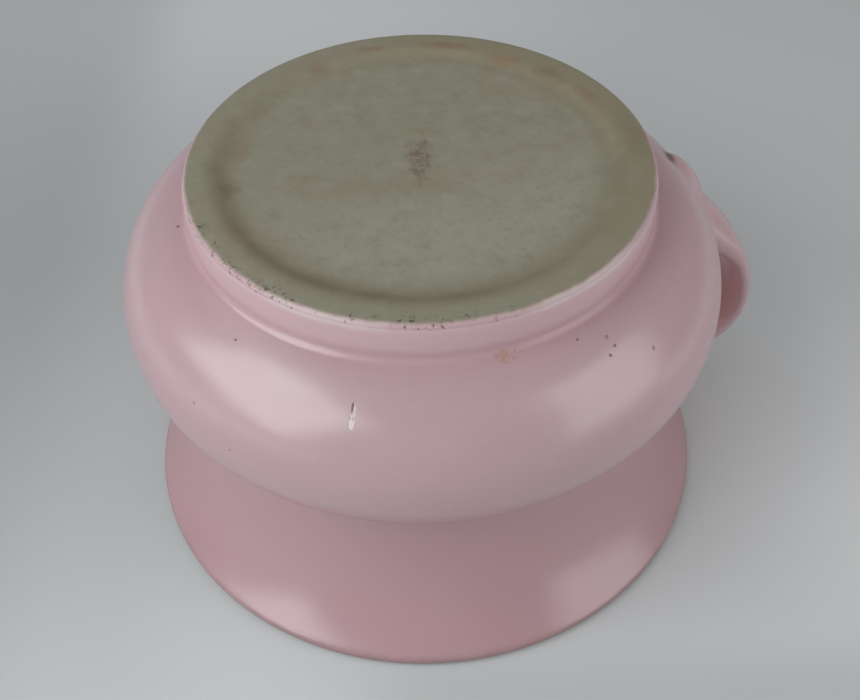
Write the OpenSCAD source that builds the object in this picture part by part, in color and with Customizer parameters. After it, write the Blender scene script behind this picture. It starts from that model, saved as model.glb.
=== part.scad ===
// Earthenware chamber pot, kept turned over on its rim with the foot up.
// The origin is the middle of the mouth on the ground, +Z up and +X towards the handle.
// Millimetres. Heights in the outline start at the foot, as the pot stands in use.

/* [Pot] */
// Radius of the mouth over its lip
rim_r = 110; // [106:0.5:114]
// Height from the foot to the lip
height = 144; // [140:0.5:150]
// Largest radius of the belly
belly_r = 107.5; // [104:0.5:111]
// Height of the belly's widest circle
belly_z = 48; // [46:0.5:50]
// Radius of the belly's outline
belly_round = 34; // [32:0.5:36]
// Radius of the neck at its narrowest circle
neck_r = 87; // [85:0.5:89]
// Radius of the hollow between belly and neck
neck_round = 15; // [13:0.5:18]
// Thickness of the wall with its two coats of glaze
wall = 5.5; // [5:0.1:6.5]
// Thickness of the bottom inside the foot ring
base_t = 5.5; // [5:0.1:6.5]

/* [Foot] */
// Radius of the foot's side
foot_r = 80; // [78:0.5:82]
// Round on the foot's outer edge
foot_edge = 2; // [1:0.1:2.5]
// Round in the groove over the foot
groove_round = 3; // [2.5:0.1:4]
// Width of the flat ring that the pot stands on
ring_w = 5.5; // [4:0.1:7]
// Width of the soft step from the ring to the hollow
step_w = 9.5; // [7:0.1:12]
// Depth of the hollow under the bottom
hollow = 2; // [1.5:0.1:2.5]

/* [Handle] */
// Width of the strap at its tail on the belly
tail_w = 20; // [18:0.5:22]
// Width of the strap at its root under the rim
root_w = 28; // [24:0.5:30]
// Thickness of the strap at its tail
tail_t = 4.4; // [4:0.1:5]
// Thickness of the strap along its bow
bow_t = 6.8; // [6:0.1:7.5]
// Angle below the belly's widest circle where the tail ends
tail_end = 49.5; // [46:0.5:52]
// Angle below the belly's widest circle where the bow lifts off
tail_off = 8; // [5:0.5:11]
// Height of the strap's middle above the belly along the tail
tail_lift = 1.2; // [1:0.1:1.4]
// Turn of the bow away from the belly where it lifts off
bow_turn = 36; // [30:1:42]
// Pull of the bow at its lift off
bow_start = 36.5; // [32:0.5:41]
// Pull of the bow at its root
bow_end = 66.5; // [62:0.5:71]
// Height of the root's middle
root_z = 118.5; // [115:0.5:121]
// Length past the lift off over which the strap is smoothed into the belly
blend_l = 32; // [28:1:36]
// Clay that fills the angle between the belly and the bow
fill_t = 7.5; // [6.5:0.1:8.5]
// Depth by which the tail's edges are pressed into the belly
edge_sag = 2.4; // [2:0.1:2.8]

/* [Coats] */
// Thickness of the glaze
glaze_t = 0.4; // [0.3:0.05:0.6]
// Thickness of the slip that holds the handle
slip_t = 0.6; // [0.5:0.05:0.8]

/* [Hidden] */
$fn = 180;

// Centres of the outline's rounds, each tangent to the one before it
lip = wall / 2;
belly_c = [belly_r - belly_round, belly_z];
groove_x = foot_r + groove_round;
groove_c = [groove_x, belly_z - sqrt(pow(belly_round + groove_round, 2) - pow(groove_x - belly_c.x, 2))];
neck_x = neck_r + neck_round;
neck_c = [neck_x, belly_z + sqrt(pow(belly_round + neck_round, 2) - pow(neck_x - belly_c.x, 2))];
lip_c = [rim_r - lip, height - lip];
reach = [lip_c.x - neck_r, lip_c.y - neck_c.y];
flare_round = (reach.x * reach.x + reach.y * reach.y - lip * lip) / (2 * (reach.x + lip));
flare_c = [neck_r + flare_round, neck_c.y];

// Directions in which the rounds meet
groove_a = atan2(groove_c.y - belly_c.y, groove_c.x - belly_c.x);
neck_a = atan2(neck_c.y - belly_c.y, neck_c.x - belly_c.x);
flare_a = atan2(reach.y, reach.x - flare_round);

// Where the glaze stops beside the crest of the lip, and what is left of it there
crest_a = 18;
glaze_end = 0.1;

floor_z = base_t + hollow;
floor_round = groove_c.y - floor_z;
ring_r = foot_r - glaze_t - foot_edge;

function turn_to(a) = [cos(a), sin(a)];
function back(p) = [for (i = [len(p) - 1:-1:0]) p[i]];
// Round from a to b, without its first point, where the line before it ends
function arc(c, r, a, b, n) = [for (i = [1:n]) c + r * turn_to(a + (b - a) * i / n)];
// The same with a radius that runs from r to s
function fade_arc(c, r, s, a, b, n) =
    [for (i = [1:n]) c + (r + (s - r) * i / n) * turn_to(a + (b - a) * i / n)];

// Rounds of the wall in turn from the foot to the lip, moved out by d
function groove_line(d) = arc(groove_c, groove_round - d, 180, groove_a + 180, 8);
function belly_line(d) = arc(belly_c, belly_round + d, groove_a, neck_a, 26);
function neck_line(d) = arc(neck_c, neck_round - d, neck_a + 180, 180, 10);
function flare_line(d) = arc(flare_c, flare_round - d, 180, flare_a, 12);
function side(d) = concat([groove_c - [groove_round - d, 0]],
    groove_line(d), belly_line(d), neck_line(d), flare_line(d));

// Inside of the pot from the middle of the bottom to the start of the lip, d deep in the wall
function inside(d) = concat(
    [[0, floor_z - d]],
    back(arc([foot_r - wall - floor_round, groove_c.y], floor_round + d, 0, -90, 8)),
    side(d - wall));

// Lip of the bare clay: the full round at the crest, a coat thinner down both sides
clay_lip_out = fade_arc(lip_c, lip - glaze_t, lip - glaze_end, flare_a - 180, 90 - crest_a, 10);
clay_lip_in = fade_arc(lip_c, lip - glaze_t, lip - glaze_end, flare_a, 90 + crest_a, 3);
crest = concat([lip_c + lip * turn_to(90 - crest_a)], arc(lip_c, lip, 90 - crest_a, 90 + crest_a, 6));

// Underside from the foot's edge to the middle
foot_round = concat([[ring_r, 0]], arc([ring_r, foot_edge], foot_edge, -90, 0, 6));
step = [for (i = [0:8]) [ring_r - ring_w - step_w * i / 8, hollow * (1 - cos(180 * i / 8)) / 2]];

// Solid pot with its side moved out by d, for seats and trims
module filled(d) {
    rotate_extrude() polygon(concat([[0, 0], [foot_r + d, 0]], side(d), [[lip_c.x, height], [0, height]]));
}

// Tail of the strap round the belly. It narrows to a tongue and sinks to the belly at its end
tails = 9;
function share(i) = pow(i / tails, 1.5);
function tongue(i) = i < tails ? sqrt(1 - pow(0.97 * (1 - share(i)), 2)) : 1;
function tail_turn(i) = (tail_end - tail_off) * share(i) - tail_end;
tail_line = [for (i = [0:tails])
    belly_c + (belly_round + tail_lift * pow(tongue(i), 2)) * turn_to(tail_turn(i))];

// Middle line of the strap in the upright plane: the tail, then one bow to the root
lift_off = tail_line[tails];
root = [flare_c.x - sqrt(pow(flare_round, 2) - pow(root_z - flare_c.y, 2)) - wall / 2, root_z];
pull_1 = lift_off + bow_start * turn_to(90 - tail_off - bow_turn);
pull_2 = root + [bow_end, 2];
function bow(t) = pow(1 - t, 3) * lift_off + 3 * pow(1 - t, 2) * t * pull_1
    + 3 * (1 - t) * t * t * pull_2 + t * t * t * root;
line = concat(tail_line, [for (i = [1:26]) bow(i / 26)]);
last = len(line) - 1;
function run(i) = i == 0 ? 0 : run(i - 1) + norm(line[i] - line[i - 1]);
whole = run(last);
function along(i) = run(i) / whole;
function heading(i) = let (p = line[min(i + 1, last)] - line[max(i - 1, 0)]) p / norm(p);

// How far the strap is smoothed into the belly: 1 along the tail, 0 past the blend
function past(i) = (run(i) - run(tails)) / blend_l;
function smoothed(i) = let (u = max(0, min(1, past(i)))) 1 - u * u * (3 - 2 * u);
// Clay filled in under the strap where it leaves the belly
function fill(i) = let (u = (past(i) - 0.45) / 0.85) abs(u) < 1 ? fill_t * (1 + cos(180 * u)) / 2 : 0;
function strap_w(i) = (tail_w + (root_w - tail_w) * along(i)) * tongue(i);
function strap_t(i) = (tail_t + (bow_t - tail_t) * min(1, along(i) / 0.35)) * tongue(i) + fill(i);

// One section of the strap, a softened oblong, grown by g all round and past both ends.
// Where it is smoothed its edges turn thin and sag into the belly
sides = 24;
function soft(v, e) = sign(v) * pow(abs(v), e);
function place(i, g) = line[i] + heading(i) * (i == 0 ? -g : i == last ? g : 0);
function ring(i, g) = let (
        h = heading(i), out = [h.y, -h.x], m = smoothed(i), e = 0.75 + 0.45 * m,
        w = strap_w(i) / 2 + g, t = strap_t(i) / 2 + g, drop = 0.45 * fill(i))
    [for (k = [0:sides - 1]) let (
        y = soft(cos(360 * k / sides), e) * w,
        sag = edge_sag * m * pow(2 * y / tail_w, 2),
        p = place(i, g) + out * (soft(sin(360 * k / sides), e) * t - drop - sag))
        [p.x, y, p.y]];

module strap(g) {
    corner = [for (i = [0:last]) each ring(i, g)];
    skin = [for (i = [0:last - 1], k = [0:sides - 1])
        let (a = i * sides + k, b = i * sides + (k + 1) % sides)
        each [[a, b, b + sides], [a, b + sides, a + sides]]];
    polyhedron(corner, concat(skin,
        [[for (k = [sides - 1:-1:0]) k]], [[for (k = [0:sides - 1]) last * sides + k]]));
}

// Slip between two lines of the wall, where the strap meets it
module bond(outer, inner) {
    intersection() {
        strap(0);
        rotate_extrude() polygon(concat(outer, back(inner)));
    }
}

module turned_over() {
    translate([0, 0, height]) rotate([180, 0, 0]) children();
}

module pot_body() {
    color([0.56, 0.53, 0.43]) turned_over() rotate_extrude()
        polygon(concat(back(step), foot_round, side(-glaze_t), clay_lip_out, crest,
            back(clay_lip_in), back(inside(glaze_t)), [[0, hollow]]));
}

module handle() {
    color([0.62, 0.55, 0.47]) turned_over() difference() {
        strap(0);
        filled(slip_t - glaze_t);
    }
}

module tail_slip() {
    color([0.5, 0.42, 0.34]) turned_over() bond(belly_line(slip_t - glaze_t), belly_line(-glaze_t));
}

module root_slip() {
    color([0.5, 0.42, 0.34]) turned_over() bond(flare_line(slip_t - glaze_t), flare_line(-glaze_t));
}

module outer_glaze() {
    color([0.78, 0.6, 0.62]) turned_over() difference() {
        rotate_extrude() polygon(concat(
            [[foot_r - glaze_t, foot_edge], [foot_r, foot_edge + 3 * glaze_t]], side(0),
            arc(lip_c, lip, flare_a - 180, 90 - crest_a, 10), back(clay_lip_out), back(side(-glaze_t))));
        strap(glaze_t);
    }
}

module inner_glaze() {
    color([0.8, 0.64, 0.65]) turned_over() rotate_extrude()
        polygon(concat(inside(0), arc(lip_c, lip, flare_a, 90 + crest_a, 3),
            back(clay_lip_in), back(inside(glaze_t))));
}

module handle_glaze() {
    color([0.78, 0.6, 0.62]) turned_over() difference() {
        strap(glaze_t);
        strap(0);
        filled(-glaze_t);
    }
}

pot_body();
handle();
tail_slip();
root_slip();
outer_glaze();
inner_glaze();
handle_glaze();
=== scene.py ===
"""Looks of a turned-over earthenware chamber pot: glaze, bare base, strap handle and a plain stage."""

import math

import bmesh
import bpy
from bpy.props import FloatProperty, FloatVectorProperty, IntProperty, PointerProperty
from mathutils import Matrix, Vector


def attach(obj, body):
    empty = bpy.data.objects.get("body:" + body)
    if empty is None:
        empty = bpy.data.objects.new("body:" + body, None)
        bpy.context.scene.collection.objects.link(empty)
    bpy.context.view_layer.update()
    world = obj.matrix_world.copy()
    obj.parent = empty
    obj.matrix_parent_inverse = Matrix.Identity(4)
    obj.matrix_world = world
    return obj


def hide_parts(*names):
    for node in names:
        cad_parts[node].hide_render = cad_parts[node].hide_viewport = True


bl_info = {
    "name": "Chamber pot",
    "version": (1, 0, 0),
    "blender": (4, 5, 0),
    "location": "View3D > Sidebar > Chamber pot",
    "description": "Builds a glazed chamber pot, turned over on its rim, and a plain studio stage",
    "category": "Object",
}

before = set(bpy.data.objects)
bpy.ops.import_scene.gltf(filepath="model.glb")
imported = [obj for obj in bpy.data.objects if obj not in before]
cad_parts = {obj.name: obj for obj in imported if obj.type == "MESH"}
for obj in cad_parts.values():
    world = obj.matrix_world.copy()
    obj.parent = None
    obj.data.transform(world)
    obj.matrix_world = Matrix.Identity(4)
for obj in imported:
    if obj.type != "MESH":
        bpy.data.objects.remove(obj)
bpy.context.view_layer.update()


def length(name, description, default):
    """A length that a user can set, in metres."""
    return FloatProperty(name=name, description=description, default=default, min=0.0,
                         precision=4, subtype="DISTANCE", unit="LENGTH")


def turn(name, description, default):
    """An angle that a user can set, given here in degrees."""
    return FloatProperty(name=name, description=description, default=math.radians(default),
                         subtype="ANGLE", unit="ROTATION")


def tint(name, description, default):
    """A colour that a user can set, as linear red, green and blue."""
    return FloatVectorProperty(name=name, description=description, default=default, size=3,
                               min=0.0, max=1.0, subtype="COLOR")


class PotSizes(bpy.types.PropertyGroup):
    """Sizes of the pot, with heights from the foot as it stands in use."""

    rim_radius: length("Mouth radius", "Radius of the mouth over its lip, a hair inside the solid", 0.10996)
    height: length("Height", "Height from the foot to the lip", 0.144)
    belly_radius: length("Belly radius", "Largest radius of the belly", 0.1075)
    belly_height: length("Belly height", "Height of the belly's widest circle", 0.048)
    belly_round: length("Belly round", "Radius of the belly's outline", 0.034)
    neck_radius: length("Neck radius", "Radius of the neck at its narrowest", 0.087)
    neck_round: length("Neck round", "Radius of the hollow between belly and neck", 0.015)
    wall: length("Wall", "Thickness of the wall with both coats", 0.0055)
    bottom: length("Bottom", "Thickness of the bottom inside the foot ring", 0.0055)
    foot_radius: length("Foot radius", "Radius of the foot's side", 0.080)
    foot_edge: length("Foot edge", "Round on the foot's outer edge", 0.002)
    groove_round: length("Groove round", "Round in the groove over the foot", 0.003)
    ring_width: length("Ring width", "Width of the flat ring that the pot stands on", 0.0055)
    step_width: length("Step width", "Width of the soft step inside the ring", 0.0095)
    hollow: length("Hollow", "Depth of the hollow under the bottom", 0.002)
    glaze: length("Glaze", "Thickness of the glaze", 0.0004)
    glaze_end: length("Glaze end", "Thickness of the glaze where it stops at the lip", 0.0001)
    crest: turn("Crest", "Half of the bare crest of the lip", 18)
    turns: IntProperty(name="Turning steps", description="Steps round the pot", default=240, min=24)


class StrapSizes(bpy.types.PropertyGroup):
    """Sizes of the strap handle."""

    tail_width: length("Tail width", "Width of the strap at its tail on the belly", 0.020)
    root_width: length("Root width", "Width of the strap at its root under the rim", 0.028)
    tail_thickness: length("Tail thickness", "Thickness of the strap at its tail", 0.0044)
    bow_thickness: length("Bow thickness", "Thickness of the strap along its bow", 0.0068)
    tail_end: turn("Tail end", "Angle below the belly's widest circle where the tail ends", 49.5)
    tail_off: turn("Lift off", "Angle below the belly's widest circle where the bow lifts off", 8)
    tail_lift: length("Tail lift", "Height of the strap's middle above the belly", 0.0012)
    bow_turn: turn("Bow turn", "Turn of the bow away from the belly at its lift off", 36)
    bow_start: length("Bow start", "Pull of the bow at its lift off", 0.0365)
    bow_end: length("Bow end", "Pull of the bow at its root", 0.0665)
    root_height: length("Root height", "Height of the root's middle", 0.1185)
    blend: length("Blend", "Length over which the strap is smoothed into the belly", 0.032)
    fill: length("Fill", "Clay that fills the angle between the belly and the bow", 0.0075)
    edge_sag: length("Edge sag", "Depth by which the tail's edges are pressed into the belly", 0.0024)
    fillet: length("Fillet", "Glaze gathered in the corner between strap and pot", 0.0014)
    trim: length("Trim", "Thickness by which the strap's finer skin stays inside its solid", 0.0001)


class Finishes(bpy.types.PropertyGroup):
    """Colours of clay, glaze, stains and stage, some of them painted light and shade."""

    pink: tint("Pink glaze", "Glaze on the belly", (0.450, 0.288, 0.310))
    pink_grey: tint("Greyed glaze", "Glaze where it has a greyer cast", (0.425, 0.290, 0.310))
    pink_deep: tint("Gathered glaze", "Glaze in the groove over the foot", (0.46, 0.265, 0.29))
    # Painted light: the foot's side is lighter than the belly's glaze to stand for the light it catches
    # from the front
    pink_foot_lit: tint("Foot glaze", "Glaze on the side of the foot", (0.510, 0.342, 0.362))
    # Painted shade: the glaze from the neck down is darker to stand for the shade under the belly
    pink_low_shade: tint("Lower glaze", "Thick glaze from the neck down", (0.392, 0.235, 0.253))
    # Dirt on the lip, and painted contact shadow where the lip meets the floor
    pink_dirt_and_shade: tint("Worn glaze", "Glaze along the lip, rubbed and dirty", (0.22, 0.13, 0.125))
    # Painted light: the strap's inner face is lighter to stand for light bounced into the hollow under the
    # strap
    pink_inside_lit: tint("Strap glaze", "Glaze on the inner face of the strap", (0.82, 0.52, 0.51))
    pink_thin: tint("Thin glaze", "Glaze where it breaks over an edge", (0.60, 0.54, 0.51))
    clay: tint("Bare clay", "Clay of the base", (0.233, 0.224, 0.163))
    clay_brown: tint("Brown clay", "Clay where it has turned brown", (0.242, 0.219, 0.159))
    clay_pale: tint("Pale clay", "Clay where the base is rubbed clean", (0.300, 0.290, 0.235))
    clay_ring: tint("Ring clay", "Clay of the ring that the pot stands on", (0.224, 0.194, 0.122))
    clay_dirty: tint("Dirty clay", "Clay where dirt has been rubbed in", (0.193, 0.158, 0.101))
    # Also stands for painted shade in the crevice at the strap's tail tip
    clay_dirt_and_shade: tint("Stained clay", "Clay where dirt has settled", (0.145, 0.103, 0.06))
    clay_spill: tint("Spill", "Reddish brown spots in the middle of the base", (0.15, 0.098, 0.07))
    rust: tint("Rust stain", "Orange-brown stains and flecks", (0.205, 0.125, 0.070))
    stain: tint("Glaze stain", "Orange-brown spots in the glaze", (0.36, 0.18, 0.095))
    grime: tint("Grime", "Very dark brown dirt in pits and specks", (0.045, 0.026, 0.013))
    chip: tint("Chip", "Pale body under a chip in the glaze", (0.62, 0.54, 0.51))
    floor: tint("Floor", "Pale floor", (0.592, 0.606, 0.610))


class Rounds:
    """Centres and meeting angles of the pot's tangent rounds, and its inner floor, from its sizes."""

    def __init__(self, pot):
        self.lip = pot.wall / 2
        self.belly = Vector((pot.belly_radius - pot.belly_round, pot.belly_height))
        groove_gap = pot.belly_round + pot.groove_round
        neck_gap = pot.belly_round + pot.neck_round
        self.groove = self.touching(pot.foot_radius + pot.groove_round, groove_gap, -1)
        self.neck = self.touching(pot.neck_radius + pot.neck_round, neck_gap, 1)
        self.edge = Vector((pot.rim_radius - self.lip, pot.height - self.lip))
        reach = self.edge - Vector((pot.neck_radius, self.neck.y))
        self.flare_round = (reach.length_squared - self.lip ** 2) / (2 * (reach.x + self.lip))
        self.flare = Vector((pot.neck_radius + self.flare_round, self.neck.y))
        self.groove_turn = math.atan2(*(self.groove - self.belly).yx)
        self.neck_turn = math.atan2(*(self.neck - self.belly).yx)
        self.flare_turn = math.atan2(*(self.edge - self.flare).yx)
        self.lip_turn = self.flare_turn - math.pi
        self.crest_out = math.pi / 2 - pot.crest
        self.crest_in = math.pi / 2 + pot.crest
        self.floor = pot.bottom + pot.hollow
        self.corner = (pot.foot_radius - pot.wall - self.groove.y + self.floor, self.groove.y)

    def touching(self, x, gap, side):
        """Centre at x of a round that touches the belly's round, above it or below it."""
        return Vector((x, self.belly.y + side * math.sqrt(gap ** 2 - (x - self.belly.x) ** 2)))


# Steps of the outline's rounds
GROOVE_STEPS = 14
BELLY_STEPS = 64
NECK_STEPS = 20
FLARE_STEPS = 30
CORNER_STEPS = 10
OUTER_LIP_STEPS = 12
INNER_LIP_STEPS = 4
# Edges that turn more than this are drawn sharp
SHARP = math.radians(40)


def begin(bm, x, z):
    """First point of an outline."""
    return bm.verts.new((x, 0, z))


def line_to(bm, end, x, z):
    """Straight stretch of an outline from its end to (x, z)."""
    made = bmesh.ops.extrude_vert_indiv(bm, verts=[end])["verts"][0]
    bmesh.ops.translate(bm, verts=[made], vec=Vector((x, 0, z)) - made.co)
    return made


def bend(bm, end, centre, start, stop, steps):
    """Round stretch of an outline about a centre, between two directions."""
    made = bmesh.ops.spin(bm, geom=[end], cent=(centre[0], 0, centre[1]), axis=(0, -1, 0),
                          angle=stop - start, steps=steps, use_merge=False, use_duplicate=False)
    return [part for part in made["geom_last"] if isinstance(part, bmesh.types.BMVert)][0]


def wall_up(bm, end, pot, rounds, out):
    """The wall from the top of the foot to the start of the lip, moved out by a distance."""
    end = line_to(bm, end, pot.foot_radius + out, rounds.groove.y)
    end = bend(bm, end, rounds.groove, math.pi, rounds.groove_turn + math.pi, GROOVE_STEPS)
    end = bend(bm, end, rounds.belly, rounds.groove_turn, rounds.neck_turn, BELLY_STEPS)
    end = bend(bm, end, rounds.neck, rounds.neck_turn + math.pi, math.pi, NECK_STEPS)
    return bend(bm, end, rounds.flare, math.pi, rounds.flare_turn, FLARE_STEPS)


def wall_down(bm, end, rounds):
    """The wall from the lip back to the top of the foot, as far out as the outline's end is."""
    end = bend(bm, end, rounds.flare, rounds.flare_turn, math.pi, FLARE_STEPS)
    end = bend(bm, end, rounds.neck, math.pi, rounds.neck_turn + math.pi, NECK_STEPS)
    end = bend(bm, end, rounds.belly, rounds.neck_turn, rounds.groove_turn, BELLY_STEPS)
    return bend(bm, end, rounds.groove, rounds.groove_turn + math.pi, math.pi, GROOVE_STEPS)


def lip_point(rounds, radius, angle):
    """A point at a distance from the lip's middle, in a direction."""
    return rounds.edge.x + radius * math.cos(angle), rounds.edge.y + radius * math.sin(angle)


def fade(bm, end, rounds, start, stop, first, last, steps):
    """Part of the lip whose distance from the lip's middle changes evenly on the way."""
    for step in range(1, steps + 1):
        share = step / steps
        radius = first + (last - first) * share
        end = line_to(bm, end, *lip_point(rounds, radius, start + (stop - start) * share))
    return end


def turn_outline(bm, pot):
    """Closes an outline, turns it round the pot's middle and turns the pot over."""
    ends = [vert for vert in bm.verts if len(vert.link_edges) == 1]
    bmesh.ops.contextual_create(bm, geom=ends)
    bmesh.ops.spin(bm, geom=bm.verts[:] + bm.edges[:], cent=(0, 0, 0), axis=(0, 0, 1), angle=2 * math.pi,
                   steps=pot.turns, use_merge=True, use_duplicate=False)
    bmesh.ops.remove_doubles(bm, verts=bm.verts, dist=1e-6)
    turn_over(bm, pot)
    bmesh.ops.recalc_face_normals(bm, faces=bm.faces)


def turn_over(bm, pot):
    """Turns a shape half round X, so that the pot rests on its rim."""
    half_turn = Matrix.Rotation(math.pi, 3, "X")
    bmesh.ops.rotate(bm, verts=bm.verts, cent=(0, 0, pot.height / 2), matrix=half_turn)


def finish_piece(bm, name, material, slot, *nodes):
    """Makes a smooth object of a bmesh that rides on the pot and stands for its solids."""
    for face in bm.faces:
        face.smooth = True
    for edge in bm.edges:
        edge.smooth = edge.calc_face_angle(0.0) < SHARP
    mesh = bpy.data.meshes.new(name)
    bm.to_mesh(mesh)
    bm.free()
    mesh.materials.append(material)
    piece = bpy.data.objects.new(name, mesh)
    bpy.context.scene.collection.objects.link(piece)
    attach(piece, "root")
    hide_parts(*nodes)
    return piece


class Shader:
    """One procedural material, with short calls for the nodes that it is made of."""

    def __init__(self, name):
        self.material = bpy.data.materials.new(name)
        self.material.use_nodes = True
        self.tree = self.material.node_tree
        self.surface = self.tree.nodes["Principled BSDF"]
        self.place = self.add("ShaderNodeTexCoord").outputs["Object"]
        parts = self.add("ShaderNodeSeparateXYZ", Vector=self.place)
        self.x, self.y, self.z = parts.outputs
        flat = self.vector("MULTIPLY", self.place, (1, 1, 0))
        length = self.add("ShaderNodeVectorMath", {"operation": "LENGTH"}, {0: flat})
        self.radius = length.outputs["Value"]

    def add(self, kind, settings=None, sockets=None, **named):
        """A node with its settings, and its sockets set or linked."""
        made = self.tree.nodes.new(kind)
        for key, value in (settings or {}).items():
            setattr(made, key, value)
        for key, value in {**(sockets or {}), **named}.items():
            self.put(made.inputs[key], value)
        return made

    def put(self, socket, value):
        """Links a socket to another node's output, or sets its value."""
        if isinstance(value, bpy.types.NodeSocket):
            self.tree.links.new(value, socket)
        elif socket.type == "RGBA" and len(value) == 3:
            socket.default_value = (*value, 1.0)
        else:
            socket.default_value = value

    def vector(self, operation, a, b):
        """Vector sum, difference or product."""
        return self.add("ShaderNodeVectorMath", {"operation": operation}, {0: a, 1: b}).outputs["Vector"]

    def math(self, operation, a, b=0.0):
        """Sum, product, power or other operation on two numbers."""
        return self.add("ShaderNodeMath", {"operation": operation}, {0: a, 1: b}).outputs["Value"]

    def noise(self, scale, detail=2.0, roughness=0.5, distortion=0.0, place=None):
        """Cloudy pattern from 0 to 1, with a scale in cycles per metre."""
        made = self.add("ShaderNodeTexNoise", {"noise_dimensions": "3D"}, Vector=place or self.place,
                        Scale=scale, Detail=detail, Roughness=roughness, Distortion=distortion)
        return made.outputs["Fac"]

    def wobble(self, scale, size):
        """Noise about nought, up to half a size each way."""
        return self.math("MULTIPLY", self.math("SUBTRACT", self.noise(scale, 4), 0.5), size)

    def cells(self, scale):
        """Distance to the nearest of scattered points, in cells."""
        made = self.add("ShaderNodeTexVoronoi", {"feature": "F1"}, Vector=self.place, Scale=scale)
        return made.outputs["Distance"]

    def between(self, value, low, high, first=0.0, last=1.0):
        """Smooth step of a value from low to high."""
        sockets = {"Value": value, "From Min": low, "From Max": high, "To Min": first, "To Max": last}
        made = self.add("ShaderNodeMapRange", {"interpolation_type": "SMOOTHSTEP"}, sockets)
        return made.outputs["Result"]

    def blend(self, share, a, b):
        """Two colours mixed by a share."""
        made = self.add("ShaderNodeMix", {"data_type": "RGBA"}, {0: share, 6: a, 7: b})
        return made.outputs[2]

    def both(self, *masks):
        """Product of masks."""
        made = masks[0]
        for mask in masks[1:]:
            made = self.math("MULTIPLY", made, mask)
        return made

    def patch(self, centre, across, along, width, reach, ragged=0.0, grain=300.0, depth=0.02):
        """Distance from a spot's centre, 1 on the skin of a flat oval, made ragged by noise."""
        gap = self.vector("SUBTRACT", self.place, tuple(centre))
        across, along = Vector(across).normalized(), Vector(along).normalized()
        total = None
        for direction, size in ((across, width), (along, reach), (across.cross(along), depth)):
            sockets = {0: gap, 1: tuple(direction / size)}
            made = self.add("ShaderNodeVectorMath", {"operation": "DOT_PRODUCT"}, sockets)
            part = made.outputs["Value"]
            square = self.math("MULTIPLY", part, part)
            total = square if total is None else self.math("ADD", total, square)
        away = self.math("SQRT", total)
        if not ragged:
            return away
        return self.math("ADD", away, self.wobble(grain, ragged))

    def thin_arcs(self):
        """The foot's edge: glaze that breaks to white on two stretches of its front, less elsewhere."""
        front = self.math("MAXIMUM", self.toward(-128, 10, 9), self.toward(-66, 14, 10))
        return self.math("MAXIMUM", front, 0.2)

    def reach(self, direction):
        """Distance along a direction."""
        sockets = {0: self.place, 1: tuple(direction)}
        return self.add("ShaderNodeVectorMath", {"operation": "DOT_PRODUCT"}, sockets).outputs["Value"]

    def toward(self, azimuth, half, soft):
        """Part of the way round the pot, in degrees about an azimuth."""
        a = math.radians(azimuth)
        share = self.math("DIVIDE", self.reach((math.cos(a), math.sin(a), 0)), self.radius)
        outer, inner = math.radians(half + soft), math.radians(max(half - soft, 0))
        return self.between(share, math.cos(outer), math.cos(inner))

    def bump(self, height, strength, distance, normal=None):
        """Relief from a height pattern."""
        sockets = {"Strength": strength, "Distance": distance, "Height": height}
        made = self.add("ShaderNodeBump", None, sockets)
        if normal is not None:
            self.put(made.inputs["Normal"], normal)
        return made.outputs["Normal"]

    def set(self, **sockets):
        """Sets or links sockets of the surface."""
        for name, value in sockets.items():
            self.put(self.surface.inputs[name.replace("_", " ")], value)
        return self.material


# Stains on the bare base: azimuth, radius, half size outwards and around in mm, depth, whether rusty
BASE_STAINS = (
    (64, 71, 2.4, 10.0, 0.65, True),
    (88, 71, 2.2, 6.0, 0.60, True),
    (107, 67, 3.5, 5.0, 0.45, True),
    (46, 68, 3.4, 9.0, 0.55, True),
    (30, 69, 3.4, 9.0, 0.50, False),
    (14, 70, 3.0, 7.0, 0.45, True),
    (-8, 74, 5.0, 16.0, 0.32, False),
    (-25, 67, 3.0, 12.0, 0.30, False),
    (134, 64, 3.0, 6.0, 0.30, True),
    (155, 62, 4.5, 9.0, 0.32, True),
    (166, 70, 3.0, 6.0, 0.22, False),
    (175, 65, 4.2, 6.0, 0.55, False),
    (-165, 68, 4.2, 8.0, 0.35, True),
    (-152, 67, 4.2, 11.0, 0.32, False),
    (-135, 67, 4.0, 10.0, 0.30, False),
    (-117, 67, 3.6, 11.0, 0.27, False),
    (-96, 67.5, 3.2, 14.0, 0.26, False),
    (-73, 67.5, 3.0, 11.0, 0.20, False),
    (-52, 66.5, 2.8, 9.0, 0.12, False),
)
# Flecks and pits in the belly's glaze: azimuth, height above the rim and half size in mm, whether rusty
GLAZE_FLECKS = (
    (-72.8, 128, 0.45, False),
    (-66.5, 124.7, 0.50, False),
    (-68.5, 123.7, 0.45, False),
    (-66.8, 126.5, 0.65, True),
    (-59.2, 119.4, 0.60, True),
    (-147, 126.7, 0.45, False),
    (173.8, 128.6, 0.55, False),
    (-149.6, 108.7, 0.50, True),
    (-140.8, 99.8, 0.40, False),
)
# Damage in the belly's glaze: azimuth, height of its middle, half width, half length in mm, depth, colour
DAMAGE = (
    (-119.0, 121.6, 0.85, 3.0, 0.45, "pink_thin"),
    (-119.0, 119.7, 0.85, 2.0, 1.0, "chip"),
    (-119.2, 122.9, 0.34, 1.6, 1.0, "clay_dirt_and_shade"),
    (-118.9, 120.6, 0.30, 0.8, 0.5, "clay_dirty"),
)


def on_belly(azimuth, height):
    """A place on the belly at an azimuth in degrees and a height above the rim in mm."""
    pot, rounds = sizes()
    rise = pot.height - height / 1000 - rounds.belly.y
    radius = rounds.belly.x + math.sqrt(pot.belly_round ** 2 - rise ** 2)
    a = math.radians(azimuth)
    return Vector((radius * math.cos(a), radius * math.sin(a), height / 1000))


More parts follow.
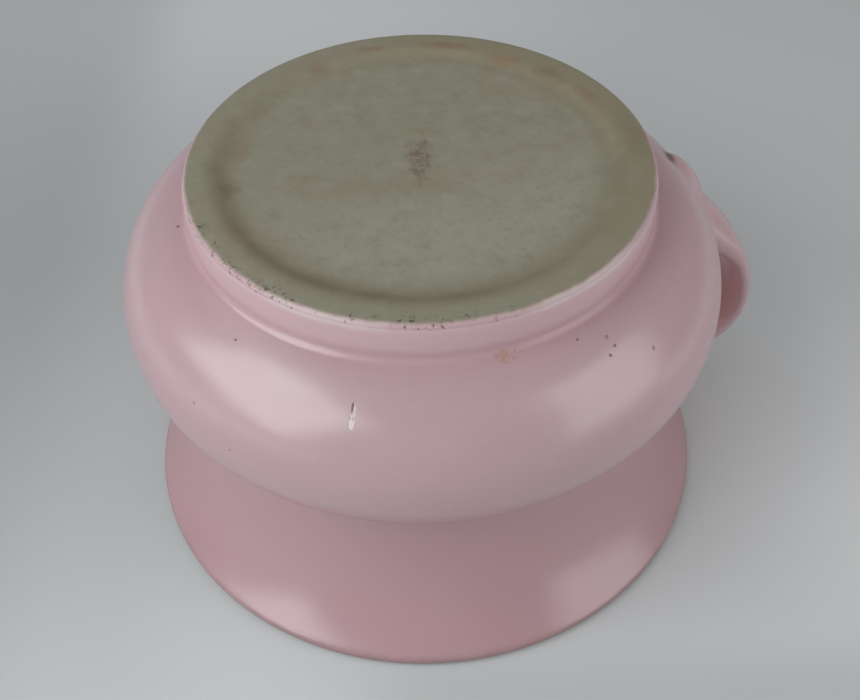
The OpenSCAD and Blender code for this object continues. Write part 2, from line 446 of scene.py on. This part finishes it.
def pink_glaze(look):
    """Glossy dusty pink glaze with pale thin edges, a dull groove, stains, flecks, one chip and painted
    light and shade.
    """
    shade = Shader("pink_coat")
    colour = shade.blend(shade.between(shade.noise(15, 3, 0.55), 0.32, 0.7), look.pink, look.pink_grey)
    fine = shade.noise(240, 4, 0.6)
    colour = shade.blend(shade.between(fine, 0.5, 0.8, 0.0, 0.05), colour, look.pink_thin)
    level = shade.math("ADD", shade.z, shade.wobble(110, 0.0024))
    groove = shade.both(shade.between(level, 0.1255, 0.1295), shade.between(level, 0.1345, 0.1305))
    colour = shade.blend(shade.math("MULTIPLY", groove, 0.3), colour, look.pink_deep)
    # Painted light on the foot's side
    colour = shade.blend(shade.between(level, 0.1310, 0.1350), colour, look.pink_foot_lit)
    # Painted shade from the neck down, kept off the strap
    low = shade.both(shade.between(level, 0.072, 0.058), shade.between(shade.x, 0.112, 0.106))
    colour = shade.blend(low, colour, look.pink_low_shade)
    # The lip's lowest few millimetres: dirt and painted contact shadow
    colour = shade.blend(shade.between(level, 0.006, 0.0015, 0.0, 0.8), colour, look.pink_dirt_and_shade)
    edge = shade.both(shade.between(level, 0.1396, 0.1424), shade.thin_arcs(), 0.5)
    colour = shade.blend(edge, colour, look.pink_thin)
    spots = shade.patch((0.0012, -0.0812, 0.1294), (1, 0, 0), (0, 0, 1), 0.0056, 0.0015, 3.0, 800)
    colour = shade.blend(shade.between(spots, 0.9, 0.2, 0.0, 0.45), colour, look.stain)
    # Dirt and painted shade in the crevice where the strap's tail tip leaves the belly
    tip = shade.patch((0.0952, 0.0, 0.1230), (0, 1, 0), (0, 0, 1), 0.0052, 0.0026, 0.8, 300, 0.0026)
    colour = shade.blend(shade.between(tip, 1.3, 0.3, 0.0, 0.7), colour, look.clay_dirt_and_shade)
    pits = None
    for azimuth, height, size, rusty in GLAZE_FLECKS:
        place = on_belly(azimuth, height)
        around = Vector((-place.y, place.x, 0))
        away = shade.patch(place, around, (0, 0, 1), size / 1000, size / 1000, 0.9, 1100, size / 1000)
        pit = shade.between(away, 1.3, 0.6)
        colour = shade.blend(shade.math("MULTIPLY", pit, 0.7), colour, look.rust if rusty else look.grime)
        pits = pit if pits is None else shade.math("MAXIMUM", pits, pit)
    # Painted light on the strap's inner face
    inside = shade.add("ShaderNodeAttribute", {"attribute_name": "inside"}, {}).outputs["Fac"]
    colour = shade.blend(shade.between(inside, 0.1, 0.8, 0.0, 0.8), colour, look.pink_inside_lit)
    for azimuth, height, width, reach, depth, tone in DAMAGE:
        place = on_belly(azimuth, height)
        around = Vector((-place.y, place.x, 0))
        along = place - on_belly(azimuth, height - 1)
        away = shade.patch(place, around, along, width / 1000, reach / 1000, 1.5, 900, 0.003)
        mark = shade.between(away, 1.15, 0.8, 0.0, depth)
        colour = shade.blend(mark, colour, getattr(look, tone))
        pits = shade.math("MAXIMUM", pits, mark)
    relief = shade.bump(shade.noise(28, 2, 0.4), 0.4, 0.0012)
    relief = shade.bump(shade.math("SUBTRACT", 1.0, pits), 0.6, 0.0004, relief)
    gloss = shade.between(shade.noise(45, 3), 0.3, 0.7, 0.235, 0.265)
    gloss = shade.math("MAXIMUM", gloss, shade.math("MULTIPLY", pits, 0.7))
    hollow = shade.both(shade.between(shade.z, 0.1280, 0.1295), shade.between(shade.z, 0.1330, 0.1312))
    clean = shade.math("SUBTRACT", 1.0, shade.toward(-145, 14, 14))
    shine = shade.between(shade.both(hollow, clean), 0.0, 1.0, 0.5, 0.22)
    shade.set(Specular_IOR_Level=shine, IOR=1.65)
    return shade.set(Base_Color=colour, Roughness=gloss, Normal=relief)


def bare_clay(look):
    """Semi-matt bare base, mottled, with a brown ring, a dirty step, stains and specks at its edge."""
    shade = Shader("base_clay")
    colour = shade.blend(shade.between(shade.noise(20, 4, 0.6), 0.42, 0.66), look.clay, look.clay_brown)
    rubbed = shade.both(shade.between(shade.radius, 0.064, 0.052), shade.between(shade.y, 0.02, -0.045))
    rubbed = shade.math("MULTIPLY", rubbed, 0.55)
    colour = shade.blend(rubbed, colour, look.clay_pale)
    streaks = shade.noise(70, 6, 0.7, 0.3, shade.vector("MULTIPLY", shade.place, (1, 3.2, 1)))
    colour = shade.blend(shade.between(streaks, 0.5, 0.72, 0.0, 0.45), colour, look.clay_brown)
    fine = shade.noise(420, 5, 0.7)
    colour = shade.blend(shade.between(fine, 0.48, 0.72, 0.0, 0.4), colour, look.clay_dirty)
    worn = shade.noise(140, 5, 0.7)
    colour = shade.blend(shade.between(worn, 0.5, 0.7, 0.0, 0.4), colour, look.clay_dirty)
    colour = shade.blend(shade.between(worn, 0.5, 0.3, 0.0, 0.4), colour, look.clay_pale)
    dirt = shade.noise(75, 5, 0.65, 0.4)
    ring = shade.both(shade.between(shade.radius, 0.059, 0.069), shade.between(dirt, 0.3, 0.6, 0.6, 1.0))
    ring = shade.both(ring, shade.between(shade.toward(12, 50, 60), 0.0, 1.0, 0.28, 1.0))
    colour = shade.blend(ring, colour, look.clay_ring)
    step = shade.between(shade.radius, 0.059, 0.0645)
    step = shade.both(step, shade.between(shade.radius, 0.0745, 0.069))
    far_side = shade.math("MULTIPLY", shade.toward(20, 75, 60), 0.6)
    side = shade.math("MAXIMUM", shade.toward(-140, 55, 45), far_side)
    step = shade.both(step, side, shade.between(dirt, 0.28, 0.62, 0.15, 0.6))
    colour = shade.blend(step, colour, look.clay_dirty)
    for azimuth, radius, out, round_ring, depth, rusty in BASE_STAINS:
        a = math.radians(azimuth)
        outward = Vector((math.cos(a), math.sin(a), 0))
        place = outward * radius / 1000 + Vector((0, 0, 0.143))
        around = Vector((-outward.y, outward.x, 0))
        away = shade.patch(place, outward, around, out / 1000, round_ring / 1000, 1.5, 260, 0.01)
        tone = look.rust if rusty else look.clay_dirt_and_shade
        colour = shade.blend(shade.between(away, 1.4, 0.1, 0.0, depth), colour, tone)
    across, along = (0.957, -0.291, 0), (0.291, 0.957, 0)
    spill = shade.patch((0.0004, 0.0020, 0.142), across, along, 0.0060, 0.0170, 1.5, 200, 0.01)
    blots = shade.between(shade.noise(480, 3, 0.6), 0.43, 0.62, 0.3, 0.9)
    colour = shade.blend(shade.both(shade.between(spill, 1.0, 0.25), blots), colour, look.clay_spill)
    across, along = (0.976, -0.218, 0), (0.218, 0.976, 0)
    smear = shade.patch((-0.013, -0.009, 0.142), across, along, 0.042, 0.009, 2.2, 55)
    colour = shade.blend(shade.between(smear, 1.2, 0.0, 0.0, 0.28), colour, look.rust)
    mote = shade.between(shade.cells(150), 0.05, 0.03)
    mote = shade.both(mote, shade.between(shade.noise(40, 2), 0.54, 0.6))
    crumbs = shade.between(shade.noise(620, 3, 0.65), 0.57, 0.62)
    crumbs = shade.both(crumbs, shade.between(shade.noise(130, 2), 0.4, 0.54), shade.toward(-134, 44, 14))
    crumbs = shade.both(crumbs, shade.between(shade.radius, 0.0748, 0.0768))
    rim = shade.math("ADD", shade.radius, shade.wobble(160, 0.0014))
    colour = shade.blend(shade.between(rim, 0.0779, 0.0793), colour, look.pink)
    edge = shade.both(shade.between(rim, 0.0782, 0.0794), shade.thin_arcs(), 0.45)
    colour = shade.blend(edge, colour, look.pink_thin)
    specks = shade.math("MULTIPLY", shade.math("MAXIMUM", mote, crumbs), 0.7)
    colour = shade.blend(specks, colour, look.grime)
    relief = shade.bump(fine, 0.14, 0.0004)
    relief = shade.bump(shade.math("SUBTRACT", 1.0, crumbs), 0.4, 0.0003, relief)
    gloss = shade.between(dirt, 0.3, 0.7, 0.48, 0.62)
    return shade.set(Base_Color=colour, Roughness=gloss, Normal=relief)


def inner_glaze(look):
    """The same glaze inside, without the wear of the outside."""
    shade = Shader("inside_coat")
    cloud = shade.noise(16, 3, 0.55)
    colour = shade.blend(shade.between(cloud, 0.3, 0.75), look.pink, [0.93 * c for c in look.pink])
    relief = shade.bump(shade.noise(30, 2, 0.4), 0.25, 0.0012)
    gloss = shade.between(shade.noise(45, 3), 0.3, 0.7, 0.15, 0.22)
    return shade.set(Base_Color=colour, Roughness=gloss, Normal=relief, IOR=1.5)


def hidden_clay(look, name, tone):
    """Fired clay or slip that lies under the glaze."""
    shade = Shader(name)
    grain = shade.noise(300, 4, 0.6)
    colour = shade.blend(grain, [tone * c for c in look.clay], look.clay)
    return shade.set(Base_Color=colour, Roughness=0.7, Normal=shade.bump(grain, 0.1, 0.0003))


def sizes():
    """The pot's sizes and the rounds that follow from them."""
    pot = bpy.context.scene.pot_sizes
    return pot, Rounds(pot)


class POT_OT_clay(bpy.types.Operator):
    """Turns the bare clay body: base with its ring and hollow, wall and lip."""

    bl_idname = "pot.clay"
    bl_label = "Clay body"

    def execute(self, context):
        pot, rounds = sizes()
        glaze = pot.glaze
        ring = pot.foot_radius - glaze - pot.foot_edge
        inner = ring - pot.ring_width - pot.step_width
        slope = 2 * math.atan2(pot.hollow, pot.step_width)
        curve = pot.step_width / 2 / math.sin(slope)
        bm = bmesh.new()
        end = begin(bm, 0, pot.hollow)
        end = line_to(bm, end, inner / 2, pot.hollow)
        end = line_to(bm, end, inner, pot.hollow)
        end = bend(bm, end, (inner, pot.hollow - curve), math.pi / 2, math.pi / 2 - slope, 6)
        end = bend(bm, end, (ring - pot.ring_width, curve), -math.pi / 2 - slope, -math.pi / 2, 6)
        end = line_to(bm, end, ring, 0)
        end = bend(bm, end, (ring, pot.foot_edge), -math.pi / 2, 0, 8)
        end = wall_up(bm, end, pot, rounds, -glaze)
        last = rounds.lip - pot.glaze_end
        under = rounds.lip - glaze
        end = fade(bm, end, rounds, rounds.lip_turn, rounds.crest_out, under, last, OUTER_LIP_STEPS)
        end = line_to(bm, end, *lip_point(rounds, rounds.lip, rounds.crest_out))
        end = bend(bm, end, rounds.edge, rounds.crest_out, rounds.crest_in, 8)
        end = line_to(bm, end, *lip_point(rounds, last, rounds.crest_in))
        end = fade(bm, end, rounds, rounds.crest_in, rounds.flare_turn, last, under, INNER_LIP_STEPS)
        end = wall_down(bm, end, rounds)
        end = bend(bm, end, rounds.corner, 0, -math.pi / 2, CORNER_STEPS)
        line_to(bm, end, 0, rounds.floor - glaze)
        turn_outline(bm, pot)
        finish_piece(bm, "clay_body", bare_clay(context.scene.pot_finishes), "bare_clay", "pot_body")
        return {"FINISHED"}


class POT_OT_outer_coat(bpy.types.Operator):
    """Lays the pink coat on the outside, from the edge of the foot to the lip."""

    bl_idname = "pot.outer_coat"
    bl_label = "Outer coat"

    def execute(self, context):
        pot, rounds = sizes()
        bm = bmesh.new()
        end = begin(bm, pot.foot_radius - pot.glaze, pot.foot_edge)
        end = line_to(bm, end, pot.foot_radius, pot.foot_edge + 3 * pot.glaze)
        end = wall_up(bm, end, pot, rounds, 0)
        end = bend(bm, end, rounds.edge, rounds.lip_turn, rounds.crest_out, 10)
        last, under = rounds.lip - pot.glaze_end, rounds.lip - pot.glaze
        end = line_to(bm, end, *lip_point(rounds, last, rounds.crest_out))
        end = fade(bm, end, rounds, rounds.crest_out, rounds.lip_turn, last, under, OUTER_LIP_STEPS)
        wall_down(bm, end, rounds)
        turn_outline(bm, pot)
        finish_piece(bm, "outer_coat", glaze_material(context), "pink_glaze", "outer_glaze")
        return {"FINISHED"}


class POT_OT_inner_coat(bpy.types.Operator):
    """Lays the coat inside the pot, from its bottom to the lip."""

    bl_idname = "pot.inner_coat"
    bl_label = "Inner coat"

    def execute(self, context):
        pot, rounds = sizes()
        bm = bmesh.new()
        end = begin(bm, 0, rounds.floor)
        end = line_to(bm, end, rounds.corner[0], rounds.floor)
        end = bend(bm, end, rounds.corner, -math.pi / 2, 0, CORNER_STEPS)
        end = wall_up(bm, end, pot, rounds, -pot.wall)
        end = bend(bm, end, rounds.edge, rounds.flare_turn, rounds.crest_in, INNER_LIP_STEPS)
        last, under = rounds.lip - pot.glaze_end, rounds.lip - pot.glaze
        end = line_to(bm, end, *lip_point(rounds, last, rounds.crest_in))
        end = fade(bm, end, rounds, rounds.crest_in, rounds.flare_turn, last, under, INNER_LIP_STEPS)
        end = wall_down(bm, end, rounds)
        end = bend(bm, end, rounds.corner, 0, -math.pi / 2, CORNER_STEPS)
        line_to(bm, end, 0, rounds.floor - pot.glaze)
        turn_outline(bm, pot)
        material = inner_glaze(context.scene.pot_finishes)
        finish_piece(bm, "inner_coat", material, "liner_glaze", "inner_glaze")
        return {"FINISHED"}


def glaze_material(context):
    """The pink glaze, made once and shared by the coat and the strap."""
    return bpy.data.materials.get("pink_coat") or pink_glaze(context.scene.pot_finishes)


class StrapLine:
    """Middle line and sections of the strap on the upright pot, from its tail's tip to its root."""

    TAIL_STEPS = 24
    BOW_STEPS = 96
    TIP_SHARE = 0.97
    ROOT_RISE = 0.002
    FILL_PLACE = 0.45
    FILL_REACH = 0.85
    FILL_INWARD = 0.45
    THICK_SHARE = 0.35
    BOW_POWER = 0.75
    TAIL_POWER = 1.2

    def __init__(self, pot, rounds, strap):
        self.strap = strap
        self.spots = []
        for step in range(self.TAIL_STEPS + 1):
            angle = (strap.tail_end - strap.tail_off) * self.share(step) - strap.tail_end
            reach = pot.belly_round + strap.tail_lift * self.tongue(step) ** 2
            self.spots.append(rounds.belly + reach * Vector((math.cos(angle), math.sin(angle))))
        lift = self.spots[-1]
        rise = strap.root_height - rounds.flare.y
        inset = rounds.flare_round ** 2 - rise ** 2
        root = Vector((rounds.flare.x - math.sqrt(inset) - pot.wall / 2, strap.root_height))
        lean = math.pi / 2 - strap.tail_off - strap.bow_turn
        pull = lift + strap.bow_start * Vector((math.cos(lean), math.sin(lean)))
        draw = root + Vector((strap.bow_end, self.ROOT_RISE))
        for step in range(1, self.BOW_STEPS + 1):
            t = step / self.BOW_STEPS
            near = (1 - t) ** 3 * lift + 3 * (1 - t) ** 2 * t * pull
            self.spots.append(near + 3 * (1 - t) * t * t * draw + t ** 3 * root)
        self.runs = [0.0]
        for first, second in zip(self.spots, self.spots[1:]):
            self.runs.append(self.runs[-1] + (second - first).length)

    def share(self, index):
        """How far along the tail a station lies, with the stations closer together at the tip."""
        return min(1.0, index / self.TAIL_STEPS) ** 1.5

    def tongue(self, index):
        """Narrowing of the tail towards its tip."""
        return math.sqrt(1 - (self.TIP_SHARE * (1 - self.share(index))) ** 2)

    def past(self, index):
        """How far a station lies past the lift off, in lengths of the blend."""
        return (self.runs[index] - self.runs[self.TAIL_STEPS]) / self.strap.blend

    def smoothed(self, index):
        """How far the strap is smoothed into the belly, 1 along the tail and 0 past the blend."""
        past = max(0.0, min(1.0, self.past(index)))
        return 1 - past * past * (3 - 2 * past)

    def fill(self, index):
        """Clay filled in under the strap where it leaves the belly."""
        away = (self.past(index) - self.FILL_PLACE) / self.FILL_REACH
        return self.strap.fill * (1 + math.cos(math.pi * away)) / 2 if abs(away) < 1 else 0.0

    def heading(self, index):
        """Direction of the middle line at a station."""
        following = self.spots[min(index + 1, len(self.spots) - 1)]
        return (following - self.spots[max(index - 1, 0)]).normalized()

    def skin(self, index, angle, coat):
        """A point of a station's section, at an angle round it, with a coat laid on."""
        strap, smooth, fill = self.strap, self.smoothed(index), self.fill(index)
        share = self.runs[index] / self.runs[-1]
        width = strap.tail_width + (strap.root_width - strap.tail_width) * share
        gain = strap.bow_thickness - strap.tail_thickness
        thick = strap.tail_thickness + gain * min(1.0, share / self.THICK_SHARE)
        power = self.BOW_POWER + (self.TAIL_POWER - self.BOW_POWER) * smooth
        across = soften(math.cos(angle), power) * (width * self.tongue(index) / 2 + coat)
        out = soften(math.sin(angle), power) * ((thick * self.tongue(index) + fill) / 2 + coat)
        out -= self.FILL_INWARD * fill + strap.edge_sag * smooth * (2 * across / strap.tail_width) ** 2
        heading = self.heading(index)
        spot = self.spots[index] + out * Vector((heading.y, -heading.x))
        return Vector((spot.x, across, spot.y))


def soften(value, power):
    """A sine or cosine raised to a power, with its sign kept."""
    return math.copysign(abs(value) ** power, value)


def off_wall(pot, rounds, point):
    """Distance of a point from the pot's outer wall, and the wall's outward direction there."""
    flat = Vector((point.x, point.y, 0))
    spot = Vector((flat.length, point.z))
    if (spot - rounds.belly).y < (rounds.neck - rounds.belly).y * 0.5:
        gap = spot - rounds.belly
        depth, normal = gap.length - pot.belly_round, gap.normalized()
    else:
        gap = rounds.flare - spot
        depth, normal = rounds.flare_round - gap.length, gap.normalized()
    around = flat.normalized()
    return depth, Vector((around.x * normal.x, around.y * normal.x, normal.y))


def gather_glaze(bm, pot, rounds, size):
    """Spreads the strap's skin into a hollow fillet where it comes close to the pot."""
    least_slant = 0.2
    bm.normal_update()
    moves = []
    for vert in bm.verts:
        depth, normal = off_wall(pot, rounds, vert.co)
        if depth < size:
            side = vert.normal - normal * vert.normal.dot(normal)
            left = size - max(depth, 0.0)
            if side.length > least_slant:
                moves.append((vert, side.normalized() * (size - math.sqrt(size ** 2 - left ** 2))))
    for vert, move in moves:
        vert.co += move


class POT_OT_strap(bpy.types.Operator):
    """Sweeps the glazed strap from its tail on the belly to its root under the rim."""

    bl_idname = "pot.strap"
    bl_label = "Strap handle"

    def execute(self, context):
        pot, rounds = sizes()
        strap = context.scene.pot_strap
        line = StrapLine(pot, rounds, strap)
        bm = bmesh.new()
        # Both layers come before the ring, because a new layer replaces the vertices
        bm.verts.layers.float.new("around")
        inside = bm.verts.layers.float.new("inside")
        around = bm.verts.layers.float["around"]
        ring = bmesh.ops.create_circle(bm, cap_ends=True, segments=48, radius=1.0)["verts"]
        for vert in ring:
            vert[around] = math.atan2(vert.co.y, vert.co.x)
            vert[inside] = max(0.0, -math.sin(vert[around]))
        edges = bm.edges[:]
        for index in range(len(line.spots)):
            if index:
                made = bmesh.ops.extrude_edge_only(bm, edges=edges)["geom"]
                ring = [part for part in made if isinstance(part, bmesh.types.BMVert)]
                edges = [part for part in made if isinstance(part, bmesh.types.BMEdge)]
            for vert in ring:
                vert.co = line.skin(index, vert[around], pot.glaze - strap.trim)
        bmesh.ops.contextual_create(bm, geom=edges)
        bmesh.ops.recalc_face_normals(bm, faces=bm.faces)
        gather_glaze(bm, pot, rounds, strap.fillet)
        turn_over(bm, pot)
        piece = finish_piece(bm, "strap_coat", glaze_material(context), "pink_glaze", "handle_glaze")
        smooth = piece.modifiers.new("Smooth skin", "SUBSURF")
        smooth.levels = smooth.render_levels = 1
        return {"FINISHED"}


class POT_OT_inner_clay(bpy.types.Operator):
    """Finishes the clay of the strap and the slip of its two bonds under the glaze."""

    bl_idname = "pot.inner_clay"
    bl_label = "Clay under the glaze"

    def execute(self, context):
        look = context.scene.pot_finishes
        strap = hidden_clay(look, "clay_under_coat", 1.3)
        slip = hidden_clay(look, "fired_slip", 0.7)
        for name, material in (("handle", strap), ("tail_slip", slip), ("root_slip", slip)):
            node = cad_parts[name]
            node.data.materials.clear()
            node.data.materials.append(material)
        return {"FINISHED"}


COOL = (0.93, 0.98, 1.0)
WHITE = (1.0, 1.0, 1.0)
# Soft lights: name, degrees right of camera and above floor, degrees wide and high, watts, roll, tint
PANELS = (
    ("left_panel", -59.5, 33, 52, 45, 11.8, -22, COOL),
    ("left_high", -92, 58, 55, 20, 1.6, 0, COOL),
    ("left_low", -58, 5, 40, 12, 0.35, 0, COOL),
    ("right_panel", 65, 20, 38, 52, 5.6, -8, WHITE),
    ("front_fill", -14, 14, 50, 34, 0.5, 0, WHITE),
)
PANEL_AWAY = 1.2
PANEL_AIM = Vector((0, 0, 0.08))
ROOM_TINT = (0.98, 0.99, 1.0, 1.0)
ROOM_SIDE = (0.809, -0.588, 0)
ROOM_DIM, ROOM_BRIGHT = 0.25, 0.355
GROUND_TINT = (0.4, 0.41, 0.415, 1.0)


def soft_panel(name, side, rise, width, height, watts, roll, colour):
    """A soft light that faces the pot, set by one row of the table of panels."""
    toward = Vector((-0.2756, -0.9613, 0))
    right = Vector((0.9613, -0.2756, 0))
    a, e = math.radians(side), math.radians(rise)
    direction = (toward * math.cos(a) + right * math.sin(a)) * math.cos(e) + Vector((0, 0, math.sin(e)))
    data = bpy.data.lights.new(name, "AREA")
    data.shape = "RECTANGLE"
    data.size = 2 * PANEL_AWAY * math.tan(math.radians(width / 2))
    data.size_y = 2 * PANEL_AWAY * math.tan(math.radians(height / 2))
    data.energy = watts
    data.color = colour
    lamp = bpy.data.objects.new(name, data)
    lamp.location = direction * PANEL_AWAY + PANEL_AIM
    turned = direction.to_track_quat("Z", "Y").to_matrix() @ Matrix.Rotation(math.radians(roll), 3, "Z")
    lamp.rotation_euler = turned.to_euler()
    bpy.context.scene.collection.objects.link(lamp)


def surroundings():
    """Room light that is brighter at the right, behind a plain pale ground for the camera."""
    world = bpy.data.worlds.new("surroundings")
    world.use_nodes = True
    tree = world.node_tree
    room = tree.nodes["Background"]
    room.inputs["Color"].default_value = ROOM_TINT
    place = tree.nodes.new("ShaderNodeTexCoord")
    facing = tree.nodes.new("ShaderNodeVectorMath")
    facing.operation = "DOT_PRODUCT"
    facing.inputs[1].default_value = ROOM_SIDE
    level = tree.nodes.new("ShaderNodeMapRange")
    level.inputs["From Min"].default_value = -1.0
    level.inputs["To Min"].default_value = ROOM_DIM
    level.inputs["To Max"].default_value = ROOM_BRIGHT
    plain = tree.nodes.new("ShaderNodeBackground")
    plain.inputs["Color"].default_value = GROUND_TINT
    path = tree.nodes.new("ShaderNodeLightPath")
    either = tree.nodes.new("ShaderNodeMixShader")
    tree.links.new(place.outputs["Generated"], facing.inputs[0])
    tree.links.new(facing.outputs["Value"], level.inputs["Value"])
    tree.links.new(level.outputs["Result"], room.inputs["Strength"])
    tree.links.new(path.outputs["Is Camera Ray"], either.inputs["Fac"])
    tree.links.new(room.outputs["Background"], either.inputs[1])
    tree.links.new(plain.outputs["Background"], either.inputs[2])
    tree.links.new(either.outputs["Shader"], tree.nodes["World Output"].inputs["Surface"])
    return world


def floor_material(look):
    """Pale floor with painted light and shade: darker behind the pot, at the left and in front, brighter at
    the right and far out.
    """
    shade = Shader("pale_floor")
    behind, beside = Vector((0.2846, 0.9586, 0)), Vector((0.9586, -0.2846, 0))
    back = shade.reach(behind)
    side = shade.reach(beside)
    # Painted shade: the floor darkens from the front to just behind the pot, then lightens further back
    level = shade.between(back, -0.15, 0.12, 0.97, 0.74)
    level = shade.math("ADD", level, shade.between(back, 0.12, 0.4, 0.0, 0.17))
    # Painted light at the right of the pot
    right = shade.both(shade.between(side, 0.02, 0.2), shade.between(back, -0.125, -0.03))
    right = shade.both(right, shade.between(back, 0.4, 0.08), 0.28)
    pools = shade.math("ADD", 1.0, right)
    # Painted pools of light: one behind the pot, one at its right that lifts the pot's shadow
    spots = (((-0.06, 0.36), 0.2, 0.15, 0.12), ((0.142, 0.042), 0.07, 0.1, 0.18))
    for centre, wide, deep, share in spots:
        away = shade.patch(beside * centre[0] + behind * centre[1], beside, behind, wide, deep)
        pools = shade.math("ADD", pools, shade.between(away, 1.2, 0.1, 0.0, share))
    # Painted shade at the left
    left = shade.between(side, -0.13, -0.2, 1.0, 0.83)
    # Painted light far out at both sides
    far = shade.between(shade.math("ABSOLUTE", side), 0.29, 0.45, 1.0, 1.85)
    # Painted shadow in front of the pot and at its front-left
    front = shade.both(shade.between(back, -0.095, -0.125), shade.between(side, -0.05, 0.01), 0.14)
    corner = shade.both(shade.between(side, -0.06, -0.14), shade.between(back, 0.04, -0.08), 0.09)
    near = shade.math("SUBTRACT", 1.0, shade.math("ADD", front, corner))
    light = shade.both(level, pools, left, far, near)
    colour = shade.add("ShaderNodeVectorMath", {"operation": "SCALE"}, {0: look.floor, "Scale": light})
    return shade.set(Base_Color=colour.outputs["Vector"], Roughness=0.6)


class POT_OT_stage(bpy.types.Operator):
    """Sets the floor, the soft lights, the room light and the camera."""

    bl_idname = "pot.stage"
    bl_label = "Stage"

    def execute(self, context):
        scene = context.scene
        bm = bmesh.new()
        bmesh.ops.create_circle(bm, cap_ends=True, segments=96, radius=3.0)
        mesh = bpy.data.meshes.new("floor")
        bm.to_mesh(mesh)
        bm.free()
        mesh.materials.append(floor_material(scene.pot_finishes))
        floor = bpy.data.objects.new("floor", mesh)
        scene.collection.objects.link(floor)
        for panel in PANELS:
            soft_panel(*panel)
        scene.world = surroundings()
        lens = bpy.data.cameras.new("camera")
        lens.lens = 47.716
        lens.sensor_width = 36
        camera = bpy.data.objects.new("camera", lens)
        right = Vector((0.955, -0.29639, -0.01175))
        up = Vector((0.22214, 0.68839, 0.69049))
        ahead = Vector((0.19656, 0.66202, -0.72325))
        turned = Matrix((right, up, -ahead)).transposed().to_4x4()
        turned.translation = Vector((-0.086440, -0.299458, 0.376844))
        camera.matrix_world = turned
        scene.collection.objects.link(camera)
        scene.camera = camera
        scene.view_settings.view_transform = "Standard"
        return {"FINISHED"}


class POT_PT_sidebar(bpy.types.Panel):
    """Sizes, colours and steps of the pot."""

    bl_idname = "POT_PT_sidebar"
    bl_label = "Chamber pot"
    bl_space_type = "VIEW_3D"
    bl_region_type = "UI"
    bl_category = "Chamber pot"

    def draw(self, context):
        scene = context.scene
        groups = {"Pot": scene.pot_sizes, "Strap": scene.pot_strap, "Finishes": scene.pot_finishes}
        for title, group in groups.items():
            column = self.layout.column(align=True)
            column.label(text=title)
            for key in group.__annotations__:
                column.prop(group, key)
        for step in STEPS:
            self.layout.operator(step.bl_idname)


GROUPS = {"pot_sizes": PotSizes, "pot_strap": StrapSizes, "pot_finishes": Finishes}
STEPS = (POT_OT_stage, POT_OT_clay, POT_OT_outer_coat, POT_OT_inner_coat, POT_OT_strap, POT_OT_inner_clay)


def register():
    """Adds the classes and the pot's settings."""
    for cls in (*GROUPS.values(), *STEPS, POT_PT_sidebar):
        bpy.utils.register_class(cls)
    for name, group in GROUPS.items():
        setattr(bpy.types.Scene, name, PointerProperty(type=group))


def unregister():
    """Takes the settings and the classes away again."""
    for name in GROUPS:
        delattr(bpy.types.Scene, name)
    for cls in reversed((*GROUPS.values(), *STEPS, POT_PT_sidebar)):
        bpy.utils.unregister_class(cls)


def main():
    """Builds the pot and its stage."""
    register()
    bpy.ops.pot.stage()
    bpy.ops.pot.clay()
    bpy.ops.pot.outer_coat()
    bpy.ops.pot.inner_coat()
    bpy.ops.pot.strap()
    bpy.ops.pot.inner_clay()
    bpy.context.view_layer.update()


if __name__ == "__main__":
    main()
